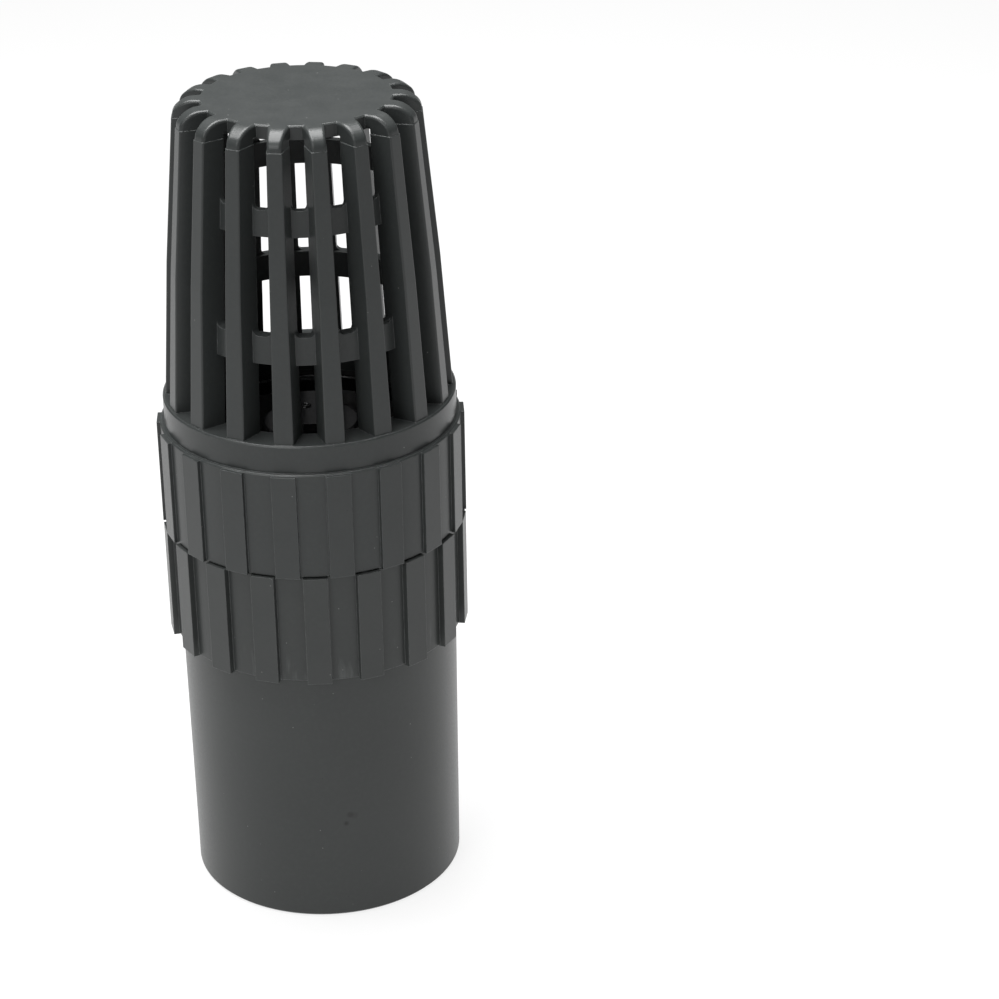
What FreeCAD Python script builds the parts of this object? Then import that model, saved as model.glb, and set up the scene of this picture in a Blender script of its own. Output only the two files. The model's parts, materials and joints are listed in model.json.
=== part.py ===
"""Two inch foot valve with a screw-on strainer, as a parametric document.

The axis of the valve is +Z. The outlet face lies on z = 0 and the flat end of
the strainer is at the top. All sizes are in millimetres and live in the
spreadsheet "dims"; every sketch and primitive is bound to its cells.
"""
import FreeCAD, Part
import os
import math
import Sketcher

Vector = FreeCAD.Vector
Z_AXIS = Vector(0, 0, 1)

doc = FreeCAD.newDocument("foot_valve")
sheet = doc.addObject("Spreadsheet::Sheet", "dims")

# ---------------------------------------------------------------- dimensions
DIMENSIONS = {
    # valve body
    "outlet_radius": 36.4,        # outside of the plain outlet end, at the face
    "body_radius": 36.85,         # the same wall just under the grip band
    "band_bottom": 74.1,          # lower edge of the body's grip band
    "seam_level": 104.6,          # where the strainer's skirt meets the body
    "body_band_radius": 38.5,     # ground between the body's grip ribs
    "body_grip_radius": 39.95,    # outside of the body's grip ribs
    "neck_radius": 34.2,          # core of the male thread under the strainer
    "neck_top": 124.0,
    "chamber_radius": 31.5,       # inside of the valve chamber
    "chamber_floor": 44.0,        # shoulder that carries the lower guide
    "outlet_bore": 25.5,
    "gasket_shoulder": 28.4,      # shoulder behind the outlet thread
    "relief_radius": 30.2,        # thread relief, and room for the flat gasket
    "relief_bottom": 24.0,
    "outlet_minor": 28.33,        # pipe thread 2 inch, 11 threads per inch
    "outlet_major": 29.81,
    "outlet_pitch": 2.309,
    "clip_groove_bottom": 49.2,
    "clip_groove_height": 1.8,
    "clip_groove_radius": 33.2,
    # coarse thread between body and strainer
    "union_pitch": 5.0,
    "union_ridge_radius": 35.3,   # crest of the body's ridge
    "union_ridge_foot": 2.4,      # axial width of the ridge at the neck
    "union_ridge_crest": 1.3,
    "union_start": 107.0,
    "union_height": 13.5,
    "union_bore": 34.75,          # crest of the strainer's groove walls
    "union_groove_radius": 35.9,
    "union_groove_mouth": 3.0,
    "union_groove_root": 2.2,
    # strainer
    "skirt_bottom": 104.7,
    "skirt_radius": 39.2,
    "skirt_grip_radius": 40.05,
    "skirt_top": 133.4,
    "grip_width": 6.3,
    "collar_radius": 38.1,
    "shelf_level": 140.8,
    "collar_bore": 30.2,
    "step_level": 132.1,          # inner step that clamps the valve cartridge
    "rib_count": 18,
    "rib_foot": 139.5,
    "rib_foot_outside": 37.3,
    "rib_middle": 177.0,
    "rib_middle_outside": 34.75,
    "rib_line": 215.0,            # parting line across the ribs
    "rib_line_outside": 31.25,
    "rib_line_step": 0.15,        # the mould's two halves differ by this much
    "rib_top": 219.6,
    "rib_top_outside": 31.05,
    "rib_slope_foot": 216.9,      # the slope between a rib's outside and its top
    "rib_slope_top": 27.6,
    "rib_foot_inside": 30.75,
    "rib_top_inside": 25.4,
    "rib_shoulder": 3.6,          # rounding below that slope
    "rib_crown": 6.0,             # rounding above it, into the flat of the cap
    "rib_foot_width": 5.1,
    "rib_line_width": 3.85,
    "rib_top_width": 3.7,
    "rib_draft_slope": 0.14,      # how fast each side widens towards the inside
    "rib_edge": 0.45,             # rounding of the ribs' outer edges
    "shoulder_edge": 0.8,
    "lower_ring_bottom": 160.0,
    "lower_ring_top": 167.2,
    "lower_ring_outside": 31.6,
    "lower_ring_inside": 28.4,
    "upper_ring_bottom": 192.4,
    "upper_ring_top": 199.1,
    "upper_ring_outside": 28.3,
    "upper_ring_inside": 26.2,
    "lower_ring_round": 1.6,      # round lower corners of the windows above
    "upper_ring_round": 1.5,
    "cap_radius": 24.2,
    "cap_bottom": 216.0,
    "cap_top": 219.6,
    # valve cartridge
    "flange_radius": 34.0,
    "seat_lip_level": 104.0,
    "seat_throat": 23.0,
    "seat_top": 127.0,
    "bridge_top": 130.4,
    "bridge_lip": 131.0,
    "bridge_window": 28.5,
    "bridge_width": 12.0,
    "bridge_slot": 5.2,
    "hub_radius": 12.6,
    "hub_top": 131.2,
    "hub_barrel": 7.2,
    "hub_bottom": 113.5,
    "hub_roof": 127.0,
    "key_width": 4.8,
    "key_length": 21.0,
    "key_top": 134.5,
    "bush_radius": 5.0,
    "fit_gap": 0.02,              # clearance of pieces pushed into one another
    "stem_radius": 3.0,
    "running_gap": 0.06,          # radial clearance of the stem in its bushes
    # poppet
    "poppet_floor": 96.0,
    "poppet_radius": 27.6,
    "seal_floor": 100.9,
    "seal_top": 103.9,
    "seal_inside": 20.1,
    "seal_outside": 26.2,
    "retainer_radius": 22.0,
    "retainer_top": 107.0,
    "washer_radius": 6.5,
    "washer_thickness": 1.0,
    "nut_height": 3.0,
    "nut_across_flats": 10.0,
    "stem_bottom": 40.5,
    "stem_stop": 72.0,            # foot of the thick part that stops the travel
    "stem_stop_radius": 5.5,
    "stem_top": 126.0,
    "keeper_bottom": 41.6,
    "keeper_thickness": 1.0,
    "keeper_radius": 5.6,
    # spring and lower guide
    "spring_radius": 10.0,        # centre line of the coils
    "spring_wire": 0.9,           # radius of the wire
    "spring_foot": 54.0,
    "spring_head": 94.6,
    "spring_turns": 7.0,
    "guide_rim_top": 49.0,
    "guide_rim_radius": 31.2,
    "guide_hub_top": 60.0,
    "guide_hub_radius": 8.0,
    "guide_arm_width": 4.0,
    # seals
    "oring_centre": 30.55,
    "oring_section": 0.93,
    "oring_level": 118.2,
    "gasket_bottom": 26.3,
    "gasket_inside": 25.6,
    "gasket_outside": 29.9,
    "thrust_bottom": 130.45,
    "thrust_top": 132.05,
    "thrust_inside": 30.3,
}
STRAINER_TURN = 3.0          # degrees: how far round the strainer is screwed
BRIDGE_TURN = -84.7          # degrees from +X to the line of the bridge

for row, (alias, value) in enumerate(DIMENSIONS.items(), start=1):
    sheet.set("A%d" % row, alias)
    sheet.set("B%d" % row, str(value))
    sheet.setAlias("B%d" % row, alias)
doc.recompute()

parts = []


# ------------------------------------------------------------------- helpers
def size(expression):
    """Value of an expression in the sheet's words, as a plain number."""
    return float(sheet.evalExpression(expression))


def bound(expression):
    """The same expression as another object of the document writes it."""
    words = sorted(DIMENSIONS, key=len, reverse=True)
    text = expression
    for index, word in enumerate(words):
        text = text.replace(word, "<%d>" % index)
    for index, word in enumerate(words):
        text = text.replace("<%d>" % index, "dims." + word)
    return text


def turn(angle):
    """Placement that only turns a piece about the valve's axis."""
    return FreeCAD.Placement(Vector(0, 0, 0), FreeCAD.Rotation(Z_AXIS, angle))


def new_body(name):
    """PartDesign body that becomes the node of that name."""
    piece = doc.addObject("PartDesign::Body", name)
    piece.Label = name
    parts.append(piece)
    return piece


def settle(feature):
    """Work the document out and stop at once if the new feature failed."""
    doc.recompute()
    if "Invalid" in feature.State or "Error" in feature.State or feature.Shape.isNull():
        raise RuntimeError("%s failed: %s" % (feature.Name, feature.State))
    return feature


def origin_plane(piece, role):
    """One of a body's own origin planes, such as XZ_Plane."""
    for feature in piece.Origin.OriginFeatures:
        if feature.Role == role:
            return feature
    raise ValueError(role)


def outline(piece, name, corners, plane="XZ_Plane", level=None):
    """Closed polygon whose corners are pairs of sheet expressions."""
    sketch = piece.newObject("Sketcher::SketchObject", name)
    sketch.AttachmentSupport = [(origin_plane(piece, plane), "")]
    sketch.MapMode = "FlatFace"
    if level is not None:
        sketch.setExpression("AttachmentOffset.Base.z", bound(level))
    points = [Vector(size(across), size(up), 0) for across, up in corners]
    count = len(points)
    for index in range(count):
        line = Part.LineSegment(points[index], points[(index + 1) % count])
        sketch.addGeometry(line, False)
    for index in range(count):
        sketch.addConstraint(
            Sketcher.Constraint("Coincident", index, 2, (index + 1) % count, 1))
    for index, (across, up) in enumerate(corners):
        for kind, axis, text, value in (
                ("DistanceX", -2, across, points[index].x),
                ("DistanceY", -1, up, points[index].y)):
            if value == 0.0:
                sketch.addConstraint(
                    Sketcher.Constraint("PointOnObject", index, 1, axis))
                continue
            number = sketch.addConstraint(
                Sketcher.Constraint(kind, -1, 1, index, 1, value))
            sketch.setExpression("Constraints[%d]" % number, bound(text))
    return sketch


def revolved(piece, name, corners, sector=None):
    """Turn of an outline about the axis: a full one, or a sector across +X."""
    sketch = outline(piece, name + "_outline", corners)
    feature = piece.newObject("PartDesign::Revolution", name)
    feature.Profile = sketch
    feature.ReferenceAxis = (sketch, ["V_Axis"])
    feature.Angle = 360
    if sector:
        feature.Midplane = True
        feature.setExpression("Angle", bound(sector))
    return settle(feature)


def turned_piece(name, corners):
    """A piece that is one turned shape."""
    piece = new_body(name)
    revolved(piece, name + "_turned", corners)
    return piece


def padded(piece, name, corners, level, height, kind="Pad", reverse=False):
    """Outline in a level plane carried up by a height; "Pocket" cuts."""
    sketch = outline(piece, name + "_outline", corners, "XY_Plane", level)
    feature = piece.newObject("PartDesign::" + kind, name)
    feature.Profile = sketch
    feature.Reversed = reverse
    feature.setExpression("Length", bound(height))
    return settle(feature)


def round_array(piece, name, feature, count):
    """The feature repeated evenly round the axis."""
    pattern = piece.newObject("PartDesign::PolarPattern", name)
    pattern.Originals = [feature]
    pattern.Axis = (feature.Profile[0], ["N_Axis"])
    pattern.Angle = 360
    pattern.setExpression("Occurrences", count)
    piece.Tip = pattern
    return settle(pattern)


def thread(piece, name, corners, pitch, height, kind):
    """Helical ridge ("Additive") or groove ("Subtractive") of an outline."""
    sketch = outline(piece, name + "_outline", corners)
    feature = piece.newObject("PartDesign::%sHelix" % kind, name)
    feature.Profile = sketch
    feature.ReferenceAxis = (sketch, ["V_Axis"])
    feature.Mode = "pitch-height-angle"
    feature.setExpression("Pitch", bound(pitch))
    feature.setExpression("Height", bound(height))
    feature.Angle = 0
    feature.LeftHanded = False
    before = feature.BaseFeature.Shape.Volume
    doc.recompute()
    after = feature.Shape.Volume
    if (after > before) != (kind == "Additive"):
        raise RuntimeError(name + " did not change the piece as it should")
    return feature


def tube(name, inside, outside, bottom, height):
    """Plain ring: one cylinder less another, bound to the sheet."""
    solids = []
    for suffix, radius in (("_outside", outside), ("_inside", inside)):
        cylinder = doc.addObject("Part::Cylinder", name + suffix)
        cylinder.setExpression("Radius", bound(radius))
        cylinder.setExpression("Height", bound(height))
        cylinder.setExpression("Placement.Base.z", bound(bottom))
        solids.append(cylinder)
    ring = doc.addObject("Part::Cut", name)
    ring.Base = solids[0]
    ring.Tool = solids[1]
    ring.Label = name
    parts.append(ring)
    return ring


def grip_ribs(piece, inside, outside, bottom, height, phase):
    """Raised bars round a grip band, flat outside, evenly spaced."""
    half = "grip_width / 2"
    corners = [(inside, "-" + half), (outside, "-" + half),
               (outside, half), (inside, half)]
    bar = padded(piece, "grip_bar", corners, bottom, height)
    bar.Profile[0].AttachmentOffset.Rotation = FreeCAD.Rotation(Z_AXIS, phase)
    doc.recompute()
    return round_array(piece, "grip_bars", bar, "dims.rib_count")


# ------------------------------------------------------------ body and outlet
def make_valve_body():
    """Moulded body: outlet socket, valve chamber, grip band and neck."""
    piece = new_body("valve_body")
    groove_top = "clip_groove_bottom + clip_groove_height"
    revolved(piece, "body_turned", [
        ("outlet_major + 0.5", "0"),
        ("outlet_radius - 0.6", "0"),
        ("outlet_radius", "0.6"),
        ("body_radius", "band_bottom"),
        ("body_band_radius - 0.3", "band_bottom"),
        ("body_band_radius", "band_bottom + 0.3"),
        ("body_band_radius", "seam_level - 0.3"),
        ("body_band_radius - 0.3", "seam_level"),
        ("neck_radius", "seam_level"),
        ("neck_radius", "neck_top - 1"),
        ("neck_radius - 1", "neck_top"),
        ("chamber_radius", "neck_top"),
        ("chamber_radius", groove_top),
        ("clip_groove_radius", groove_top),
        ("clip_groove_radius", "clip_groove_bottom"),
        ("chamber_radius", "clip_groove_bottom"),
        ("chamber_radius", "chamber_floor"),
        ("outlet_bore", "chamber_floor"),
        ("outlet_bore", "gasket_shoulder"),
        ("relief_radius", "gasket_shoulder"),
        ("relief_radius", "relief_bottom"),
        ("outlet_minor", "relief_bottom - 1"),
        ("outlet_minor", "outlet_major + 0.5 - outlet_minor"),
    ])
    grip_ribs(piece, "body_band_radius - 1", "body_grip_radius", "band_bottom - 0.1",
              "seam_level - band_bottom", STRAINER_TURN + 10)
    half_foot = "union_ridge_foot / 2"
    half_crest = "union_ridge_crest / 2"
    thread(piece, "union_ridge", [
        ("neck_radius - 0.4", "union_start - " + half_foot),
        ("neck_radius", "union_start - " + half_foot),
        ("union_ridge_radius", "union_start - " + half_crest),
        ("union_ridge_radius", "union_start + " + half_crest),
        ("neck_radius", "union_start + " + half_foot),
        ("neck_radius - 0.4", "union_start + " + half_foot),
    ], "union_pitch", "union_height", "Additive")
    thread(piece, "outlet_thread", [
        ("outlet_minor - 0.6", "-1.3 - outlet_pitch * 0.435"),
        ("outlet_major", "-1.3 - outlet_pitch * 0.02"),
        ("outlet_major", "-1.3 + outlet_pitch * 0.02"),
        ("outlet_minor - 0.6", "-1.3 + outlet_pitch * 0.435"),
    ], "outlet_pitch", "relief_bottom + 2.6", "Subtractive")


# -------------------------------------------------------------------- strainer
def make_strainer():
    """Moulded strainer: ribbed cage, cap, collar and threaded grip skirt."""
    piece = new_body("strainer_basket")
    profile = outline(piece, "rib_outline", [
        ("rib_foot_inside", "rib_foot"),
        ("rib_foot_outside", "rib_foot"),
        ("rib_middle_outside", "rib_middle"),
        ("rib_line_outside", "rib_line"),
        ("rib_line_outside - rib_line_step", "rib_line"),
        ("rib_top_outside", "rib_slope_foot"),
        ("rib_slope_top", "rib_top"),
        ("cap_radius - 1", "rib_top"),
        ("cap_radius - 1", "cap_bottom"),
        ("rib_top_inside", "cap_bottom"),
    ])
    rib = piece.newObject("PartDesign::Pad", "rib")
    rib.Profile = profile
    rib.Midplane = True
    rib.setExpression("Length", "dims.rib_foot_width * 3")
    settle(rib)
    draft_cut(piece, "left_draft", -1)
    taper = draft_cut(piece, "right_draft", 1)
    shoulder = rounded(piece, "rib_shoulder_round", taper, "rib_shoulder",
                       lambda edge: across_rib(edge, "rib_top_outside", "rib_slope_foot"))
    crown = rounded(piece, "rib_crown_round", shoulder, "rib_crown",
                    lambda edge: across_rib(edge, "rib_slope_top", "rib_top"))
    edges = rounded(piece, "rib_edge_round", crown, "rib_edge", on_rib_edge)
    rounded(piece, "shoulder_edge_round", edges, "shoulder_edge", on_shoulder_edge)
    for name in ("lower_ring", "upper_ring"):
        band = revolved(piece, name, [
            (name + "_inside", name + "_bottom"),
            (name + "_outside", name + "_bottom"),
            (name + "_outside - 0.5", name + "_top"),
            (name + "_inside - 0.5", name + "_top"),
        ], sector="360 / rib_count")
        level = size(name + "_top")
        rounded(piece, name + "_window_round", band, name + "_round",
                lambda edge: in_window_corner(edge, level))
    cage = piece.newObject("PartDesign::PolarPattern", "rib_cage")
    cage.TransformMode = "Whole shape"
    cage.Axis = (profile, ["V_Axis"])
    cage.Angle = 360
    cage.setExpression("Occurrences", "dims.rib_count")
    piece.Tip = cage
    settle(cage)
    revolved(piece, "skirt_and_collar", [
        ("union_bore + 0.8", "skirt_bottom"),
        ("skirt_radius - 0.3", "skirt_bottom"),
        ("skirt_radius", "skirt_bottom + 0.3"),
        ("skirt_radius", "skirt_top - 0.4"),
        ("skirt_radius - 0.4", "skirt_top"),
        ("collar_radius", "skirt_top"),
        ("collar_radius", "shelf_level - 0.4"),
        ("collar_radius - 0.4", "shelf_level"),
        ("collar_bore", "shelf_level"),
        ("collar_bore", "step_level"),
        ("union_bore", "step_level"),
        ("union_bore", "skirt_bottom + 0.8"),
    ])
    revolved(piece, "cap", [
        ("0", "cap_bottom"),
        ("cap_radius", "cap_bottom"),
        ("cap_radius", "cap_top - 0.4"),
        ("cap_radius - 0.4", "cap_top"),
        ("0", "cap_top"),
    ])
    grip_ribs(piece, "skirt_radius - 1", "skirt_grip_radius", "skirt_bottom",
              "skirt_top - skirt_bottom - 0.3", 0)
    start = "union_start - union_pitch + union_pitch * %g / 360" % STRAINER_TURN
    half_mouth = "union_groove_mouth / 2"
    half_root = "union_groove_root / 2"
    thread(piece, "union_groove", [
        ("union_bore - 0.5", start + " - " + half_mouth),
        ("union_bore", start + " - " + half_mouth),
        ("union_groove_radius", start + " - " + half_root),
        ("union_groove_radius", start + " + " + half_root),
        ("union_bore", start + " + " + half_mouth),
        ("union_bore - 0.5", start + " + " + half_mouth),
    ], "union_pitch", "union_pitch + union_height + 3", "Subtractive")
    piece.Placement = turn(STRAINER_TURN)


def draft_cut(piece, name, side):
    """Planes one side of the rib: narrower upwards, wider towards the inside."""
    sign = "-" if side < 0 else ""
    foot = "(rib_foot_width / 2 + rib_draft_slope * rib_foot_outside)"
    line = "(rib_line_width / 2 + rib_draft_slope * rib_line_outside)"
    top = "(rib_top_width / 2 + rib_draft_slope * rib_top_outside)"
    wedge = outline(piece, name + "_outline", [
        (sign + foot, "rib_foot"),
        (sign + "(rib_foot_width * 4)", "rib_foot"),
        (sign + "(rib_foot_width * 4)", "rib_top + 1"),
        (sign + "(%s - rib_line_step)" % top, "rib_top + 1"),
        (sign + "(%s - rib_line_step)" % line, "rib_line"),
        (sign + line, "rib_line"),
    ], "YZ_Plane")
    cut = piece.newObject("PartDesign::Pocket", name)
    cut.Profile = wedge
    cut.UseCustomVector = True
    cut.Direction = Vector(1, -side * size("rib_draft_slope"), 0)
    cut.AlongSketchNormal = False
    cut.setExpression("Length", "dims.rib_foot_outside * 1.3")
    before = cut.BaseFeature.Shape.Volume
    settle(cut)
    if cut.Shape.Volume > before * 0.95:
        raise RuntimeError(name + " cuts nothing")
    return cut


def rounded(piece, name, base, radius, chosen):
    """Fillet of a feature's edges, picked by a test on each edge."""
    names = []
    for index, edge in enumerate(base.Shape.Edges, start=1):
        if chosen(edge):
            names.append("Edge%d" % index)
    fillet = piece.newObject("PartDesign::Fillet", name)
    fillet.Base = (base, names)
    fillet.setExpression("Radius", bound(radius))
    return settle(fillet)


def across_rib(edge, outside, level):
    """The edge that runs across a rib at one corner of its outline."""
    middle = edge.CenterOfMass
    return abs(middle.z - size(level)) < 0.1 and abs(middle.x - size(outside)) < 0.1


def in_window_corner(edge, level):
    """The corners where a ring's top runs into the sides of a rib."""
    box = edge.BoundBox
    level_edge = abs(box.ZMin - level) < 0.3 and abs(box.ZMax - level) < 0.3
    beside_rib = box.YLength < 1.6 and abs(edge.CenterOfMass.y) < size("rib_foot_width") * 0.7
    return level_edge and beside_rib and box.XLength > 1.0


def on_rib_edge(edge):
    """The long edges of a rib's outer face, below the parting line."""
    middle = edge.CenterOfMass
    below_line = edge.BoundBox.ZMax < size("rib_line") + 0.1
    outer = middle.x > size("rib_line_outside") and abs(middle.y) > 1.0
    return edge.Length > 20 and below_line and outer


def on_shoulder_edge(edge):
    """The edges along a rib's rounded shoulder and its top, on both sides."""
    middle = edge.CenterOfMass
    above_line = edge.BoundBox.ZMin > size("rib_line") - 0.1
    over_top = middle.z > size("rib_line") + 1 and middle.x > size("cap_radius")
    return edge.Length > 1.0 and above_line and over_top and abs(middle.y) > 1.0


# ------------------------------------------------------------- seat and bridge
def make_seat_ring():
    """Ring with the valve seat: a lip that the poppet's seal closes on."""
    turned_piece("seat_ring", [
        ("seat_throat + 0.6", "seat_lip_level"),
        ("seat_throat + 2.0", "seat_lip_level"),
        ("seat_throat + 3.6", "seat_lip_level + 2.5"),
        ("seat_throat + 4.5", "seat_lip_level + 8"),
        ("chamber_radius - 0.3", "seat_lip_level + 10"),
        ("chamber_radius - 0.3", "oring_level - 1.4"),
        ("oring_centre - oring_section - 0.03", "oring_level - 1.4"),
        ("oring_centre - oring_section - 0.03", "oring_level + 1.4"),
        ("chamber_radius - 0.3", "oring_level + 1.4"),
        ("chamber_radius - 0.3", "neck_top"),
        ("flange_radius", "neck_top"),
        ("flange_radius", "seat_top"),
        ("bridge_window", "seat_top"),
        ("seat_throat", "seat_top - 7"),
        ("seat_throat", "seat_lip_level + 1.2"),
    ])


def make_seat_oring():
    """Ring of round section that seals the seat ring in the chamber."""
    ring = doc.addObject("Part::Torus", "seat_oring")
    ring.setExpression("Radius1", "dims.oring_centre")
    ring.setExpression("Radius2", "dims.oring_section")
    ring.setExpression("Placement.Base.z", "dims.oring_level")
    ring.Label = "seat_oring"
    parts.append(ring)


def make_guide_bridge():
    """Clamped ring with a slotted bar across it and a hub for the stem."""
    piece = new_body("guide_bridge")
    revolved(piece, "rim", [
        ("bridge_window", "seat_top"),
        ("flange_radius", "seat_top"),
        ("flange_radius", "bridge_top"),
        ("thrust_inside - 0.4", "bridge_top"),
        ("thrust_inside - 0.7", "bridge_lip"),
        ("bridge_window + 0.4", "bridge_lip"),
        ("bridge_window", "bridge_lip - 0.4"),
    ])
    half = "bridge_width / 2"
    reach = "bridge_window + 1"
    padded(piece, "bar", [
        ("-(%s)" % reach, "-" + half), (reach, "-" + half),
        (reach, half), ("-(%s)" % reach, half),
    ], "seat_top", "bridge_top - seat_top")
    revolved(piece, "hub", [
        ("bush_radius + fit_gap", "hub_bottom"),
        ("hub_barrel", "hub_bottom"),
        ("hub_barrel", "seat_top - 4"),
        ("hub_radius", "seat_top"),
        ("hub_radius", "hub_top - 0.5"),
        ("hub_radius - 0.5", "hub_top"),
        ("0", "hub_top"),
        ("0", "hub_roof"),
        ("bush_radius + fit_gap", "hub_roof"),
    ])
    half_key = "key_width / 2"
    half_length = "key_length / 2"
    padded(piece, "key", [
        ("-" + half_length, "-" + half_key), (half_length, "-" + half_key),
        (half_length, half_key), ("-" + half_length, half_key),
    ], "hub_top - 0.5", "key_top - hub_top + 0.5")
    slot = round_slot(piece, "hub_radius + 2", "bridge_window - 1.2", "bridge_slot / 2")
    round_array(piece, "slots", slot, "2")
    piece.Placement = turn(BRIDGE_TURN)


def round_slot(piece, inner_end, outer_end, half_width):
    """Slot with round ends through the bridge's bar."""
    sketch = piece.newObject("Sketcher::SketchObject", "slot_outline")
    sketch.AttachmentSupport = [(origin_plane(piece, "XY_Plane"), "")]
    sketch.MapMode = "FlatFace"
    sketch.setExpression("AttachmentOffset.Base.z", "dims.bridge_top + 1")
    radius = size(half_width)
    near = size(inner_end) + radius
    far = size(outer_end) - radius
    quarter = math.pi / 2
    sketch.addGeometry(Part.ArcOfCircle(
        Part.Circle(Vector(near, 0, 0), Z_AXIS, radius), quarter, 3 * quarter), False)
    sketch.addGeometry(Part.ArcOfCircle(
        Part.Circle(Vector(far, 0, 0), Z_AXIS, radius), -quarter, quarter), False)
    sketch.addGeometry(Part.LineSegment(
        Vector(near, -radius, 0), Vector(far, -radius, 0)), False)
    sketch.addGeometry(Part.LineSegment(
        Vector(far, radius, 0), Vector(near, radius, 0)), False)
    for first, first_end, second, second_end in (
            (0, 2, 2, 1), (2, 2, 1, 1), (1, 2, 3, 1), (3, 2, 0, 1)):
        sketch.addConstraint(
            Sketcher.Constraint("Tangent", first, first_end, second, second_end))
    sketch.addConstraint(Sketcher.Constraint("PointOnObject", 0, 3, -1))
    sketch.addConstraint(Sketcher.Constraint("PointOnObject", 1, 3, -1))
    number = sketch.addConstraint(Sketcher.Constraint("Radius", 0, radius))
    sketch.setExpression("Constraints[%d]" % number, bound(half_width))
    for arc, text in ((0, "%s + %s" % (inner_end, half_width)),
                      (1, "%s - %s" % (outer_end, half_width))):
        number = sketch.addConstraint(
            Sketcher.Constraint("DistanceX", -1, 1, arc, 3, size(text)))
        sketch.setExpression("Constraints[%d]" % number, bound(text))
    slot = piece.newObject("PartDesign::Pocket", "slot")
    slot.Profile = sketch
    slot.Length = 6
    before = slot.BaseFeature.Shape.Volume
    doc.recompute()
    if slot.Shape.Volume >= before:
        raise RuntimeError("the slot cuts nothing")
    return slot


# ---------------------------------------------------------------------- poppet
def make_poppet():
    """Disc, face seal, its retainer, and the washer and nut that clamp them."""
    turned_piece("poppet_head", [
        ("stem_radius + fit_gap", "poppet_floor"),
        ("poppet_radius / 2", "poppet_floor"),
        ("poppet_radius - 1.5", "poppet_floor + 2.4"),
        ("poppet_radius", "poppet_floor + 3.6"),
        ("poppet_radius", "seal_top - 1.3"),
        ("seal_outside + 0.1", "seal_top - 1.3"),
        ("seal_outside + 0.1", "seal_floor"),
        ("stem_radius + fit_gap", "seal_floor"),
    ])
    tube("poppet_seal", "seal_inside", "seal_outside", "seal_floor", "seal_top - seal_floor")
    turned_piece("seal_retainer", [
        ("stem_radius + fit_gap", "seal_floor"),
        ("seal_inside - 0.1", "seal_floor"),
        ("seal_inside - 0.1", "seal_top"),
        ("retainer_radius", "seal_top"),
        ("retainer_radius", "seal_top + 0.9"),
        ("retainer_radius - 12", "retainer_top"),
        ("stem_radius + fit_gap", "retainer_top"),
    ])
    tube("stem_washer", "stem_radius + fit_gap", "washer_radius", "retainer_top",
         "washer_thickness")
    nut = doc.addObject("Part::Prism", "nut_blank")
    nut.Polygon = 6
    nut.setExpression("Circumradius", "dims.nut_across_flats / sqrt(3)")
    nut.setExpression("Height", "dims.nut_height")
    nut.setExpression("Placement.Base.z", "dims.retainer_top + dims.washer_thickness")
    hole = doc.addObject("Part::Cylinder", "nut_hole")
    hole.setExpression("Radius", "dims.stem_radius + dims.fit_gap")
    hole.setExpression("Height", "dims.nut_height")
    hole.setExpression("Placement.Base.z", "dims.retainer_top + dims.washer_thickness")
    bored = doc.addObject("Part::Cut", "stem_nut")
    bored.Base = nut
    bored.Tool = hole
    bored.Label = "stem_nut"
    parts.append(bored)
    turned_piece("poppet_stem", [
        ("0", "stem_bottom"),
        ("stem_radius - 0.5", "stem_bottom"),
        ("stem_radius", "stem_bottom + 0.5"),
        ("stem_radius", "keeper_bottom - 0.05"),
        ("stem_radius - 0.6", "keeper_bottom - 0.05"),
        ("stem_radius - 0.6", "keeper_bottom + keeper_thickness + 0.05"),
        ("stem_radius", "keeper_bottom + keeper_thickness + 0.05"),
        ("stem_radius", "stem_stop"),
        ("stem_stop_radius", "stem_stop"),
        ("stem_stop_radius", "poppet_floor"),
        ("stem_radius", "poppet_floor"),
        ("stem_radius", "stem_top - 0.5"),
        ("stem_radius - 0.5", "stem_top"),
        ("0", "stem_top"),
    ])


def open_ring(name, inside, outside, bottom, thickness, gap):
    """Flat spring ring with a gap at +X, so that it can be sprung in."""
    ring = turned_piece(name, [
        (inside, bottom), (outside, bottom),
        (outside, "%s + %s" % (bottom, thickness)),
        (inside, "%s + %s" % (bottom, thickness)),
    ])
    half = "%s / 2" % gap
    reach = outside + " + 1"
    padded(ring, name + "_gap", [
        ("0", "-" + half), (reach, "-" + half), (reach, half), ("0", half),
    ], "%s + %s + 0.5" % (bottom, thickness), thickness + " + 1", "Pocket")
    return ring


# ----------------------------------------------------- spring and lower guide
def make_return_spring():
    """Compression spring: round wire swept along a right-handed helix."""
    wire_radius = size("spring_wire")
    coil_radius = size("spring_radius")
    height = size("spring_head - spring_foot - 2 * spring_wire")
    pitch = height / size("spring_turns")
    helix = Part.makeHelix(pitch, height, coil_radius)
    section = Part.Wire([Part.makeCircle(
        wire_radius, Vector(coil_radius, 0, 0), Vector(0, 1, 0))])
    spring = doc.addObject("Part::Feature", "return_spring")
    spring.Shape = Part.Wire(helix.Edges).makePipeShell([section], True, True)
    spring.Placement = FreeCAD.Placement(
        Vector(0, 0, size("spring_foot + spring_wire")), FreeCAD.Rotation())
    spring.Label = "return_spring"
    parts.append(spring)


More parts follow.
